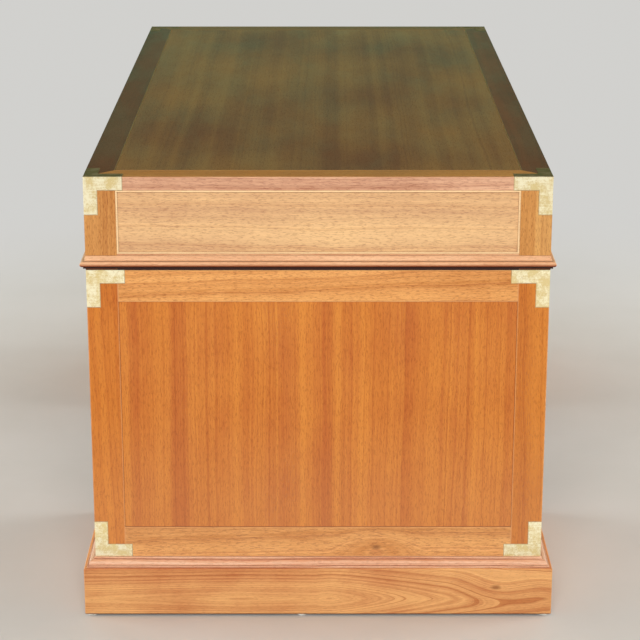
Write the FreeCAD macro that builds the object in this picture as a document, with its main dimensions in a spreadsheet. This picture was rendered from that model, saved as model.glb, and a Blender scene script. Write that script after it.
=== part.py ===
import FreeCAD, Part
import Sketcher
import math
import os

# A twin-pedestal campaign desk: a desktop section with a shallow frieze of three drawers rests on
# two pedestals of three drawers each, and each pedestal stands on a moulded plinth.
# X runs along the desk, Y from the sitter's side to the back, Z up. The origin is on the floor
# under the middle of the desk, and the drawers open towards -Y.

SIZES = [
    # name, millimetres, what it is
    ("top_length", 1524, "desktop along X"),
    ("top_depth", 762, "desktop along Y"),
    ("top_thickness", 23, "desktop boards"),
    ("border_width", 48, "mitred border round the desktop field"),
    ("groove_depth", 1.2, "V groove between the border and the field"),
    ("frieze_height", 133.5, "desktop section under the boards"),
    ("rail_margin", 3, "rail at the foot of the frieze, above its moulding"),
    ("frieze_board", 22, "end and back panels of the frieze"),
    ("frieze_recess", 1, "frieze panels behind their posts"),
    ("partition", 20, "board between two frieze drawers"),
    ("runner_width", 28, "runner inside a drawer opening"),
    ("moulding_height", 21, "moulding round the foot of the frieze"),
    ("moulding_lift", 3.5, "shadow gap under that moulding"),
    ("moulding_projection", 9, "that moulding beyond the frieze"),
    ("moulding_margin", 1, "its top beyond the frieze"),
    ("torus_radius", 4.5, "nose of that moulding"),
    ("torus_lift", 7.5, "middle of that nose above the moulding's foot"),
    ("torus_quirk", 2, "groove on each side of the nose"),
    ("fascia_setback", 0.5, "face under the nose"),
    ("cove_setback", 1, "foot of the cove"),
    ("fillet_height", 1, "square fillets of the mouldings"),
    ("pedestal_width", 440, "pedestal along X"),
    ("pedestal_height", 508, "pedestal above its plinth"),
    ("stile_width", 52, "corner stiles"),
    ("frame_thickness", 25, "stiles, rails, carcase boards"),
    ("frame_rail", 54, "rails of the framed sides"),
    ("panel_recess", 1.5, "panels behind their frames"),
    ("panel_thickness", 12, "panel in its field"),
    ("tongue_thickness", 6, "panel edge in the groove"),
    ("tongue_depth", 7, "panel edge beyond its field"),
    ("tongue_play", 1.5, "bottom of the groove beyond the tongue"),
    ("blade_height", 18, "frame between two drawers"),
    ("blade_depth", 50, "its front and back rails"),
    ("upper_drawer", 118, "opening of the upper pedestal drawer"),
    ("middle_drawer", 138, "opening of the middle pedestal drawer"),
    ("plinth_height", 100.5, "plinth with its cap"),
    ("plinth_projection", 19, "plinth beyond the pedestal"),
    ("plinth_board", 22, "thickness of the plinth boards"),
    ("plinth_arris", 1, "eased top edge of the plinth boards"),
    ("plinth_toe", 2, "eased lower edge of the plinth boards"),
    ("cap_height", 15.5, "moulded cap of the plinth"),
    ("cap_margin", 2.5, "top of the cap beyond the pedestal"),
    ("cap_neck", 4, "upright face of the cap above its quarter round"),
    ("cap_step", 3, "fillet of the cap outside its quarter round"),
    ("ovolo_radius", 7.5, "quarter round of the cap"),
    ("ovolo_quirk", 1.5, "between that quarter round and the neck"),
    ("glide_height", 2.5, "nylon glide under the plinth"),
    ("glide_radius", 9, "nylon glide"),
    ("brass_leg", 64, "corner mount along each edge"),
    ("brass_margin", 2, "carcase edge left bare beside a corner mount"),
    ("brass_thickness", 1.5, "corner mount, let in flush"),
    ("drawer_space", 47, "behind a shut drawer"),
    ("drawer_gap", 1, "round a drawer front"),
    ("drawer_ride", 0.3, "drawer above its runners"),
    ("drawer_headroom", 6, "above a drawer's sides"),
    ("front_thickness", 22, "drawer front"),
    ("side_gap", 1.5, "beside a drawer box"),
    ("side_thickness", 11, "drawer sides and back"),
    ("bottom_thickness", 5, "drawer bottom"),
    ("bottom_lift", 8, "drawer bottom above the sides' edge"),
    ("bottom_groove", 4, "drawer bottom into the sides"),
    ("bead_width", 3, "cock bead"),
    ("bead_projection", 1.4, "cock bead beyond the face"),
    ("bead_bevel", 0.9, "eased edges of the cock bead"),
    ("pull_inset", 132, "pulls of the wide drawer from the ends of its opening"),
    ("plate_length", 96, "pull plate"),
    ("plate_height", 46, "pull plate"),
    ("plate_thickness", 2, "pull plate"),
    ("pan_length", 70, "hollow of the pull"),
    ("pan_height", 32, "hollow of the pull"),
    ("pan_depth", 11, "hollow of the pull"),
    ("pan_wall", 2.5, "wall round that hollow"),
    ("bail_bar", 6, "bail across its face"),
    ("bail_thickness", 4.4, "bail, front to back"),
    ("bail_gap", 1, "between the bail and the pan"),
    ("bail_corner", 9, "outer corner of the bail"),
    ("bail_setback", 0.3, "bail behind the plate's face"),
    ("trunnion_radius", 1.5, "bail's pivots"),
    ("trunnion_play", 0.08, "round those pivots"),
    ("trunnion_end", 0.3, "pivots short of the pan's outside"),
    ("trunnion_drop", 4, "pivots below the pan's upper wall"),
    ("dowel_radius", 5, "locating dowels"),
    ("dowel_length", 30, "locating dowels, half in each piece"),
    ("middle_glide_offset", 28, "middle glides behind the desk's centre line"),
]

GLIDE_FLATS = 12
# Millimetres that a cutter reaches past what it cuts, and the least volume that a cut takes away.
OVERCUT = 1
LEAST_CUT = 0.01

V = FreeCAD.Vector
doc = FreeCAD.newDocument("campaign_desk")
sheet = doc.addObject("Spreadsheet::Sheet", "sizes")
sheet.Label = "sizes"
sub_parts = []


# --- Sizes that keep their sheet expression ----------------------------------------------------


class Size:
    """A length worked out from the sheet: its expression and its present value."""

    def __init__(self, text, value):
        self.text = text
        self.value = value

    def __add__(self, other):
        return combine(self, "+", as_size(other))

    def __radd__(self, other):
        return combine(as_size(other), "+", self)

    def __sub__(self, other):
        return combine(self, "-", as_size(other))

    def __rsub__(self, other):
        return combine(as_size(other), "-", self)

    def __mul__(self, factor):
        return Size(f"({self.text} * {factor})", self.value * factor)

    __rmul__ = __mul__

    def __truediv__(self, divisor):
        return Size(f"({self.text} / {divisor})", self.value / divisor)

    def __neg__(self):
        return Size(f"(-1 * {self.text})", -self.value)


def as_size(length):
    return length if isinstance(length, Size) else Size(str(length), float(length))


def combine(left, sign, right):
    value = left.value + right.value if sign == "+" else left.value - right.value
    return Size(f"({left.text} {sign} {right.text})", value)


def read_sizes():
    """Fill the sheet and return each of its cells as a Size."""
    cells = {}
    for row, (name, value, meaning) in enumerate(SIZES, start=1):
        sheet.set(f"A{row}", name)
        sheet.set(f"B{row}", str(value))
        sheet.set(f"C{row}", meaning)
        sheet.setAlias(f"B{row}", name)
        cells[name] = Size(f"<<sizes>>.{name}", float(value))
    doc.recompute()
    return cells


def bind(item, prop, length):
    item.setExpression(prop, as_size(length).text)


class Names:
    """The sheet's sizes as attributes."""

    def __init__(self, cells):
        self.__dict__.update(cells)


s = Names(read_sizes())

brass_width = s.frame_thickness - s.brass_margin
frieze_rail = s.moulding_lift + s.moulding_height + s.rail_margin
drawer_length = s.top_depth - s.frame_thickness - s.drawer_space
half_length = s.top_length / 2
half_depth = s.top_depth / 2
kneehole_half = half_length - s.pedestal_width

pedestal_foot = s.glide_height + s.plinth_height
frieze_foot = pedestal_foot + s.pedestal_height
boards_foot = frieze_foot + s.frieze_height
drawer_floor = frieze_foot + frieze_rail


# --- Places ------------------------------------------------------------------------------------


class Site:
    """A face seen from outside: u runs to its right, w into the desk and v up from its origin."""

    def __init__(self, x, y, z, turn=0):
        self.x = as_size(x)
        self.y = as_size(y)
        self.z = as_size(z)
        self.turn = turn

    def at(self, u, w, v):
        u = as_size(u)
        w = as_size(w)
        across, inwards = ((u, w), (-w, u), (-u, -w), (w, -u))[self.turn]
        return self.x + across, self.y + inwards, self.z + v


def faces_of(x, y, z, length, depth):
    """The front, right, back and left faces of an upright block, each with its width."""
    return [
        (Site(x, y - depth / 2, z, 0), length),
        (Site(x + length / 2, y, z, 1), depth),
        (Site(x, y + depth / 2, z, 2), length),
        (Site(x - length / 2, y, z, 3), depth),
    ]


def place(item, point, turn=0):
    item.Placement = FreeCAD.Placement(V(0, 0, 0), FreeCAD.Rotation(V(0, 0, 1), 90 * turn))
    for axis, length in zip("xyz", point):
        bind(item, f"Placement.Base.{axis}", length)


# --- Simple solids and groups ------------------------------------------------------------------


def board(name, site, low, extent):
    """A squared board. low is its near lower left corner and extent its size, both as u, w, v."""
    box = doc.addObject("Part::Box", name)
    for prop, length in zip(("Length", "Width", "Height"), extent):
        bind(box, prop, length)
    place(box, site.at(*low), site.turn)
    return box


def upright(kind, name, point, radius, height):
    """A Cylinder, or a Prism of many flats, standing on its point."""
    rod = doc.addObject(f"Part::{kind}", name)
    bind(rod, "Radius" if kind == "Cylinder" else "Circumradius", radius)
    if kind == "Prism":
        rod.Polygon = GLIDE_FLATS
    bind(rod, "Height", height)
    place(rod, point)
    return rod


def cut(base, *tools):
    """The base with every tool's shape let into it."""
    for tool in tools:
        piece = doc.addObject("Part::Cut", base.Name + "_with_" + tool.Name)
        piece.Base = base
        piece.Tool = tool
        base = piece
    return base


def group(name, pieces):
    together = doc.addObject("Part::Compound", name)
    together.Links = pieces
    return together


def sub_part(label, pieces):
    """Register one named sub-part, made of one piece or of several separate solids."""
    item = pieces[0] if len(pieces) == 1 else group(label, pieces)
    item.Label = label
    sub_parts.append(item)
    return item


# --- Sketched bodies ---------------------------------------------------------------------------


def new_body(name, point=(0, 0, 0), turn=0):
    body = doc.addObject("PartDesign::Body", name)
    place(body, point, turn)
    return body


def sketch_on(body, role, name, offset=None):
    drawing = body.newObject("Sketcher::SketchObject", f"{body.Name}_{name}")
    plane = next(item for item in body.Origin.OriginFeatures if item.Role == role)
    drawing.AttachmentSupport = [(plane, "")]
    drawing.MapMode = "FlatFace"
    if offset is not None:
        bind(drawing, "AttachmentOffset.Base.z", offset)
    return drawing


def arc_between(start, end, radius):
    """An arc from start to end, anticlockwise for a positive radius, and where it starts and ends."""
    chord = end - start
    rise = math.sqrt(max(radius * radius - chord.Length * chord.Length / 4, 0.0))
    left = V(-chord.y, chord.x, 0).normalize()
    centre = (start + end) * 0.5 + left * math.copysign(rise, radius)
    first, last = (start, end) if radius > 0 else (end, start)
    angles = [math.atan2(p.y - centre.y, p.x - centre.x) for p in (first, last)]
    curve = Part.ArcOfCircle(Part.Circle(centre, V(0, 0, 1), abs(radius)), *angles)
    return curve, ((1, 2) if radius > 0 else (2, 1))


def outline(drawing, corners, rounds=None):
    """A closed outline through corners. rounds maps a corner's number to the radius of the arc
    that leaves it, positive where the arc turns anticlockwise."""
    rounds = rounds or {}
    points = [V(as_size(x).value, as_size(y).value, 0) for x, y in corners]
    starts = []
    ends = []
    for number, start in enumerate(points):
        end = points[(number + 1) % len(points)]
        if number in rounds:
            radius = as_size(rounds[number])
            curve, (head, tail) = arc_between(start, end, radius.value)
        else:
            curve, (head, tail) = Part.LineSegment(start, end), (1, 2)
        edge = drawing.addGeometry(curve, False)
        starts.append((edge, head))
        ends.append((edge, tail))
        if number in rounds:
            length = radius if radius.value > 0 else -radius
            rule = Sketcher.Constraint("Radius", edge, length.value)
            bind(drawing, f"Constraints[{drawing.addConstraint(rule)}]", length)
    for number, end in enumerate(ends):
        start = starts[(number + 1) % len(starts)]
        drawing.addConstraint(Sketcher.Constraint("Coincident", *end, *start))
    for start, corner in zip(starts, corners):
        for direction, length in zip(("DistanceX", "DistanceY"), corner):
            rule = Sketcher.Constraint(direction, -1, 1, *start, as_size(length).value)
            bind(drawing, f"Constraints[{drawing.addConstraint(rule)}]", length)


def rectangle(drawing, left, low, right, high):
    outline(drawing, [(left, low), (right, low), (right, high), (left, high)])


def circle(drawing, across, up, radius):
    centre = V(as_size(across).value, as_size(up).value, 0)
    ring = drawing.addGeometry(Part.Circle(centre, V(0, 0, 1), as_size(radius).value), False)
    rules = [
        (Sketcher.Constraint("Radius", ring, as_size(radius).value), radius),
        (Sketcher.Constraint("DistanceX", -1, 1, ring, 3, centre.x), across),
        (Sketcher.Constraint("DistanceY", -1, 1, ring, 3, centre.y), up),
    ]
    for rule, length in rules:
        bind(drawing, f"Constraints[{drawing.addConstraint(rule)}]", length)


def pad(body, drawing, length, reverse=False, both_ways=False):
    feature = body.newObject("PartDesign::Pad", drawing.Name + "_pad")
    feature.Profile = drawing
    bind(feature, "Length", length)
    feature.Reversed = reverse
    if both_ways:
        feature.SideType = "Symmetric"
    return feature


def pocket(body, drawing, depth=None, both_ways=False):
    """Cut a sketch into its body against the sketch's normal, right through when depth is None."""
    doc.recompute()
    before = body.Shape.Volume
    feature = body.newObject("PartDesign::Pocket", drawing.Name + "_pocket")
    feature.Profile = drawing
    if depth is None:
        feature.Type = "ThroughAll"
    else:
        bind(feature, "Length", depth)
    if both_ways:
        feature.SideType = "Symmetric"
    doc.recompute()
    if not body.Shape.Volume < before - LEAST_CUT:
        raise RuntimeError(f"{feature.Name} cuts nothing")
    return feature


def edges_where(feature, wanted):
    """The names of a feature's edges whose ends all pass the test."""
    doc.recompute()
    numbered = enumerate(feature.Shape.Edges, start=1)
    return [f"Edge{n}" for n, edge in numbered if all(wanted(v.Point) for v in edge.Vertexes)]


def ease(body, kind, base, wanted, prop, length):
    """Fillet or chamfer the edges of base that pass the test."""
    feature = body.newObject(f"PartDesign::{kind}", base.Name + "_" + kind.lower())
    feature.Base = (base, edges_where(base, wanted))
    bind(feature, prop, length)
    return feature


def near(a, b):
    return abs(a - b) < 0.001


# --- Lengths mitred round a rectangle ----------------------------------------------------------


def mitred_frame(name, x, y, z, length, depth, profile, inner, rounds=None):
    """Four lengths of one section, mitred round a rectangle. profile holds points as distance in
    from the outermost face and height above z, and inner is the section's innermost distance."""
    lengths = []
    sides = ("front", "right", "back", "left")
    for side, (site, span) in zip(sides, faces_of(x, y, z, length, depth)):
        body = new_body(f"{name}_{side}", site.at(0, 0, 0), site.turn)
        section = sketch_on(body, "YZ_Plane", "section")
        outline(section, profile, rounds)
        pad(body, section, span, both_ways=True)
        mitres = sketch_on(body, "XY_Plane", "mitres")
        reach = inner + OVERCUT
        outline(mitres, [(span / 2, 0), (span / 2, reach), (span / 2 - reach, reach)])
        outline(mitres, [(-span / 2, 0), (reach - span / 2, reach), (-span / 2, reach)])
        pocket(body, mitres, both_ways=True)
        lengths.append(body)
    return lengths


# --- Brass corner mounts -----------------------------------------------------------------------


def mirrored(name, source, axis, place_of_plane):
    """The source with its reflection across a plane square to one axis."""
    image = doc.addObject("Part::Mirroring", f"{name}_{axis}_image")
    image.Source = source
    image.Normal = V(*[float(axis == direction) for direction in "xyz"])
    bind(image, f"Base.{axis}", place_of_plane)
    return group(f"{name}_{axis}_pair", [source, image])


def corner_mount(name, x, y, z, drop):
    """A three-sided mount on the corner x, y, z, reaching right, back and down from it. drop is
    the height of its level legs on the two upright faces."""
    body = new_body(name, (x, y, z))
    block = sketch_on(body, "XY_Plane", "block")
    rectangle(block, 0, 0, s.brass_leg, s.brass_leg)
    pad(body, block, s.brass_leg, reverse=True)
    core = sketch_on(body, "XY_Plane", "core", -s.brass_thickness)
    beyond = s.brass_leg + OVERCUT
    rectangle(core, s.brass_thickness, s.brass_thickness, beyond, beyond)
    pocket(body, core)
    windows = (
        ("XY_Plane", brass_width, beyond),
        ("XZ_Plane", -drop, -beyond),
        ("YZ_Plane", -drop, -beyond),
    )
    for role, start, end in windows:
        window = sketch_on(body, role, "window_" + role[:2])
        rectangle(window, brass_width, start, beyond, end)
        pocket(body, window, both_ways=True)
    return body


def corner_mounts(label, x, y, low, high, length, depth, drop, both_levels):
    """The mounts of a block: on its four upper corners, or on all eight."""
    one = corner_mount(label + "_one", x - length / 2, y - depth / 2, high, drop)
    row = mirrored(label, one, "x", x)
    layer = mirrored(label, row, "y", y)
    whole = mirrored(label, layer, "z", (low + high) / 2) if both_levels else layer
    whole.Label = label
    sub_parts.append(whole)
    return whole


# --- Framed sides ------------------------------------------------------------------------------


def framed_side(name, site, span, stile, height, mounts):
    """Two stiles and two rails with a floating panel, and the brass let into them."""
    panel_span = span - 2 * stile
    panel_rise = height - 2 * s.frame_rail
    field = board(
        name + "_field",
        site,
        (-panel_span / 2, s.panel_recess, s.frame_rail),
        (panel_span, s.panel_thickness, panel_rise),
    )
    tongue_in = s.panel_recess + (s.panel_thickness - s.tongue_thickness) / 2
    slabs = []
    for kind, reach in (("tongue", s.tongue_depth), ("groove", s.tongue_depth + s.tongue_play)):
        slab = board(
            f"{name}_{kind}",
            site,
            (-panel_span / 2 - reach, tongue_in, s.frame_rail - reach),
            (panel_span + 2 * reach, s.tongue_thickness, panel_rise + 2 * reach),
        )
        slabs.append(slab)
    tongue, groove = slabs
    panel = doc.addObject("Part::Fuse", name + "_panel")
    panel.Base = field
    panel.Tool = tongue
    thick = s.frame_thickness
    places = {
        "left_stile": ((-span / 2, 0, 0), (stile, thick, height)),
        "right_stile": ((span / 2 - stile, 0, 0), (stile, thick, height)),
        "low_rail": ((-panel_span / 2, 0, 0), (panel_span, thick, s.frame_rail)),
        "high_rail": (
            (-panel_span / 2, 0, height - s.frame_rail),
            (panel_span, thick, s.frame_rail),
        ),
    }
    members = {
        part: cut(board(f"{name}_{part}", site, low, extent), groove, mounts)
        for part, (low, extent) in places.items()
    }
    return members, panel


# --- Drawers and their pulls -------------------------------------------------------------------


def pull_plate(label, point):
    """A brass plate with a pan behind it, bored for the bail's trunnions. Its origin is the middle
    of its face."""
    body = new_body(label, point)
    plate = sketch_on(body, "XZ_Plane", "plate")
    plate_across = s.plate_length / 2
    plate_up = s.plate_height / 2
    rectangle(plate, -plate_across, -plate_up, plate_across, plate_up)
    pad(body, plate, s.plate_thickness, reverse=True)
    pan = sketch_on(body, "XZ_Plane", "pan")
    across = s.pan_length / 2
    up = s.pan_height / 2
    wall = s.pan_wall
    rectangle(pan, -across - wall, -up - wall, across + wall, up + wall)
    pad(body, pan, s.pan_depth + wall, reverse=True)
    hollow = sketch_on(body, "XZ_Plane", "hollow")
    rectangle(hollow, -across, -up, across, up)
    pocket(body, hollow, s.pan_depth)
    bores = sketch_on(body, "YZ_Plane", "bores")
    circle(bores, pivot_inwards(), pivot_rise(), s.trunnion_radius + s.trunnion_play)
    pocket(body, bores, s.pan_length + 2 * wall, both_ways=True)
    sub_part(label, [body])


def pivot_inwards():
    return s.bail_setback + s.bail_thickness / 2


def pivot_rise():
    return s.pan_height / 2 - s.trunnion_drop


def bail(label, point):
    """A flat U-shaped bail with a trunnion on each arm. Its origin is on its pivot line."""
    body = new_body(label, point)
    half = s.pan_length / 2 - s.bail_gap
    bar = s.bail_bar
    top = s.trunnion_drop - s.bail_gap
    low = s.trunnion_drop + s.bail_gap - s.pan_height
    outer = s.bail_corner
    inner = s.bail_corner - bar
    shape = sketch_on(body, "XZ_Plane", "shape")
    corners = [
        (-half, top),
        (-half, low + outer),
        (outer - half, low),
        (half - outer, low),
        (half, low + outer),
        (half, top),
        (half - bar, top),
        (half - bar, low + outer),
        (half - outer, low + bar),
        (outer - half, low + bar),
        (bar - half, low + outer),
        (bar - half, top),
    ]
    outline(shape, corners, {1: outer, 3: outer, 7: -inner, 9: -inner})
    pad(body, shape, s.bail_thickness, both_ways=True)
    root = half - bar / 2
    end = sketch_on(body, "YZ_Plane", "trunnion", root)
    circle(end, 0, 0, s.trunnion_radius)
    trunnion = pad(body, end, s.pan_length / 2 + s.pan_wall - s.trunnion_end - root)
    other = body.newObject("PartDesign::Mirrored", body.Name + "_other_trunnion")
    other.Originals = [trunnion]
    plane = next(item for item in body.Origin.OriginFeatures if item.Role == "YZ_Plane")
    other.MirrorPlane = (plane, [""])
    body.Tip = other
    sub_part(label, [body])


def drawer_front(name, x, z, width, height, pulls):
    """The front: a board with a cock bead worked round it, and a recess for each pull."""
    body = new_body(f"{name}_front", (x, -s.top_depth / 2, z))
    half = width / 2 - s.drawer_gap
    low = s.drawer_gap
    high = height - s.drawer_gap
    blank = sketch_on(body, "XZ_Plane", "blank")
    rectangle(blank, -half, low, half, high)
    pad(body, blank, s.front_thickness, reverse=True)
    bead = sketch_on(body, "XZ_Plane", "bead")
    rectangle(bead, -half, low, half, high)
    edge = s.bead_width
    rectangle(bead, edge - half, low + edge, half - edge, high - edge)
    ring = pad(body, bead, s.bead_projection)
    nose = (-s.bead_projection).value
    ease(body, "Chamfer", ring, lambda p: near(p.y, nose), "Size", s.bead_bevel)
    middle = height / 2
    wall = s.pan_wall
    pans = (
        ("plate", s.plate_length / 2, s.plate_height / 2, s.plate_thickness),
        ("pan", s.pan_length / 2 + wall, s.pan_height / 2 + wall, s.pan_depth + wall),
    )
    for number, offset in enumerate(pulls, start=1):
        for kind, across, up, depth in pans:
            recess = sketch_on(body, "XZ_Plane", f"{kind}_recess_{number}")
            rectangle(recess, offset - across, middle - up, offset + across, middle + up)
            pocket(body, recess, depth)
    sub_part(f"{name}_front", [body])


def drawer_box(name, x, z, width, height):
    """Two sides, a back and a bottom let into the sides."""
    site = Site(x, -s.top_depth / 2 + s.front_thickness, z + s.drawer_ride)
    length = drawer_length - s.front_thickness
    half = width / 2 - s.side_gap
    thick = s.side_thickness
    rise = height - s.drawer_ride - s.drawer_headroom
    inside = half - thick
    groove = s.bottom_groove
    floor = s.bottom_lift + s.bottom_thickness
    bottom = board(
        name + "_bottom",
        site,
        (-inside - groove, 0, s.bottom_lift),
        (2 * (inside + groove), length, s.bottom_thickness),
    )
    left = board(name + "_left_side", site, (-half, 0, 0), (thick, length, rise))
    right = board(name + "_right_side", site, (inside, 0, 0), (thick, length, rise))
    back = board(
        name + "_back",
        site,
        (-inside, length - thick, floor),
        (2 * inside, thick, rise - floor),
    )
    sub_part(f"{name}_box", [cut(left, bottom), cut(right, bottom), back, bottom])


def drawer(name, x, z, width, height, pulls):
    drawer_front(name, x, z, width, height, pulls)
    drawer_box(name, x, z, width, height)
    for number, offset in enumerate(pulls, start=1):
        tag = f"_{number}" if len(pulls) > 1 else ""
        centre = (x + offset, -s.top_depth / 2, z + height / 2)
        pivot = (centre[0], centre[1] + pivot_inwards(), centre[2] + pivot_rise())
        pull_plate(f"{name}_pull_plate{tag}", centre)
        bail(f"{name}_bail{tag}", pivot)


# --- Pedestals ---------------------------------------------------------------------------------


def dust_frame(name, x, z):
    """The blade between two drawers with its runners and back rail."""
    width = s.pedestal_width - 2 * s.frame_thickness
    depth = s.top_depth - s.frame_thickness
    site = Site(x, -half_depth, z)
    runner_length = depth - 2 * s.blade_depth
    height = s.blade_height
    places = {
        "blade": ((-width / 2, 0, 0), (width, s.blade_depth, height)),
        "back": ((-width / 2, depth - s.blade_depth, 0), (width, s.blade_depth, height)),
        "left": ((-width / 2, s.blade_depth, 0), (s.runner_width, runner_length, height)),
        "right": (
            (width / 2 - s.runner_width, s.blade_depth, 0),
            (s.runner_width, runner_length, height),
        ),
    }
    return [board(f"{name}_{part}", site, *spot) for part, spot in places.items()]


def carcase_board(name, x, z, *tools):
    width = s.pedestal_width - 2 * s.frame_thickness
    site = Site(x, -half_depth, z)
    extent = (width, s.top_depth - s.frame_thickness, s.frame_thickness)
    return cut(board(name, site, (-width / 2, 0, 0), extent), *tools)


def plinth(side, x):
    """Plinth boards under a moulded cap that carries the pedestal."""
    length = s.pedestal_width + 2 * s.plinth_projection
    depth = s.top_depth + 2 * s.plinth_projection
    board_top = s.plinth_height - s.cap_height
    thick = s.plinth_board
    arris = s.plinth_arris
    toe = s.plinth_toe
    board_section = [
        (toe, 0),
        (thick, 0),
        (thick, board_top),
        (arris, board_top),
        (0, board_top - arris),
        (0, toe),
    ]
    boards = mitred_frame(
        side + "_plinth",
        x,
        as_size(0),
        s.glide_height,
        length,
        depth,
        board_section,
        thick,
    )
    sub_part(side + "_plinth", boards)
    neck = s.plinth_projection - s.cap_margin
    ovolo_in = neck - s.ovolo_quirk
    ovolo_out = ovolo_in - s.ovolo_radius
    ledge = ovolo_out - s.cap_step
    shoulder = s.cap_height - s.cap_neck
    spring = shoulder - s.ovolo_radius
    inner = s.plinth_projection + s.frame_thickness
    cap_section = [
        (ledge, 0),
        (ledge, spring - s.fillet_height),
        (ovolo_out, spring - s.fillet_height),
        (ovolo_out, spring),
        (ovolo_in, shoulder),
        (neck, shoulder),
        (neck, s.cap_height),
        (inner, s.cap_height),
        (inner, 0),
    ]
    cap = mitred_frame(
        side + "_plinth_cap",
        x,
        as_size(0),
        s.glide_height + board_top,
        length,
        depth,
        cap_section,
        inner,
        {3: -s.ovolo_radius},
    )
    sub_part(side + "_plinth_cap", cap)


def glide_points(x):
    """Under each corner of a plinth and near the middle of its sides."""
    inset = s.plinth_board / 2
    across = s.pedestal_width / 2 + s.plinth_projection - inset
    along = s.top_depth / 2 + s.plinth_projection - inset
    return [
        (x + across * k, y, 0)
        for k in (-1, 1)
        for y in (-along, s.middle_glide_offset, along)
    ]


def dowel_points(x):
    """One near the front and one in the back rail of a pedestal, half in it and half above."""
    foot = frieze_foot - s.dowel_length / 2
    rows = (-half_depth + s.stile_width / 2, half_depth - s.frame_thickness / 2)
    return [(x, y, foot) for y in rows]


def pedestal(side, x, dowels):
    width = s.pedestal_width
    mounts = corner_mounts(
        side + "_corner_mounts",
        x,
        as_size(0),
        pedestal_foot,
        frieze_foot,
        width,
        s.top_depth,
        brass_width,
        both_levels=True,
    )
    frames = []
    panels = []
    faces = faces_of(x, as_size(0), pedestal_foot, width, s.top_depth)
    for name, number in (("right", 1), ("back", 2), ("left", 3)):
        site, span = faces[number]
        stile = s.stile_width
        if name == "back":
            span = span - 2 * s.frame_thickness
            stile = stile - s.frame_thickness
        members, panel = framed_side(
            f"{side}_{name}", site, span, stile, s.pedestal_height, mounts
        )
        if name == "back":
            members["high_rail"] = cut(members["high_rail"], dowels)
        frames.extend(members.values())
        panels.append(panel)
    sub_part(side + "_frames", frames)
    sub_part(side + "_panels", panels)

    thick = s.frame_thickness
    opening = s.pedestal_height - 2 * thick - 2 * s.blade_height
    lower_drawer = opening - s.upper_drawer - s.middle_drawer
    lower = pedestal_foot + thick
    lower_blade = lower + lower_drawer
    middle = lower_blade + s.blade_height
    middle_blade = middle + s.middle_drawer
    upper = middle_blade + s.blade_height
    inside = [
        carcase_board(side + "_bottom_board", x, pedestal_foot, mounts),
        carcase_board(side + "_top_board", x, frieze_foot - thick, mounts, dowels),
        *dust_frame(side + "_lower_dust", x, lower_blade),
        *dust_frame(side + "_middle_dust", x, middle_blade),
    ]
    sub_part(side + "_carcase", inside)
    plinth(side, x)

    clear = width - 2 * thick
    heights = (
        ("upper", upper, s.upper_drawer),
        ("middle", middle, s.middle_drawer),
        ("lower", lower, lower_drawer),
    )
    for storey, z, height in heights:
        drawer(f"{side}_{storey}_drawer", x, z, clear, height, [as_size(0)])


# --- Desktop section ---------------------------------------------------------------------------


def desktop_boards():
    """The mitred border with its brass, and the field board inside it."""
    mounts = corner_mounts(
        "desktop_corner_mounts",
        as_size(0),
        as_size(0),
        boards_foot,
        boards_foot + s.top_thickness,
        s.top_length,
        s.top_depth,
        s.top_thickness,
        both_levels=False,
    )
    wide = s.border_width
    thick = s.top_thickness
    groove = s.groove_depth
    section = [(0, 0), (wide, 0), (wide, thick - groove), (wide - groove, thick), (0, thick)]
    border = mitred_frame(
        "desktop_border",
        as_size(0),
        as_size(0),
        boards_foot,
        s.top_length,
        s.top_depth,
        section,
        wide,
    )
    sub_part("desktop_border", [cut(length, mounts) for length in border])

    body = new_body("desktop_field", (0, 0, boards_foot))
    across = half_length - wide
    back = half_depth - wide
    shape = sketch_on(body, "XY_Plane", "shape")
    rectangle(shape, -across, -back, across, back)
    slab = pad(body, shape, thick)
    top = thick.value
    ease(body, "Chamfer", slab, lambda p: near(p.z, top), "Size", groove)
    sub_part("desktop_field", [body])
    return mounts


def frieze_panel(name, site, left, right):
    """A panel between two posts with a cock bead round it, on one face of the frieze."""
    rise = s.frieze_height - frieze_rail
    panel = board(
        name + "_panel",
        site,
        (left, s.frieze_recess, frieze_rail),
        (right - left, s.frieze_board - s.frieze_recess, rise),
    )
    body = new_body(name + "_bead", site.at(0, 0, frieze_rail), site.turn)
    ring = sketch_on(body, "XZ_Plane", "ring", -s.frieze_recess)
    edge = s.bead_width
    rectangle(ring, left, 0, right, rise)
    rectangle(ring, left + edge, edge, right - edge, rise - edge)
    strip = pad(body, ring, s.frieze_recess + s.bead_projection)
    nose = (-s.bead_projection).value
    ease(body, "Chamfer", strip, lambda p: near(p.y, nose), "Size", s.bead_bevel)
    return panel, body


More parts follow.
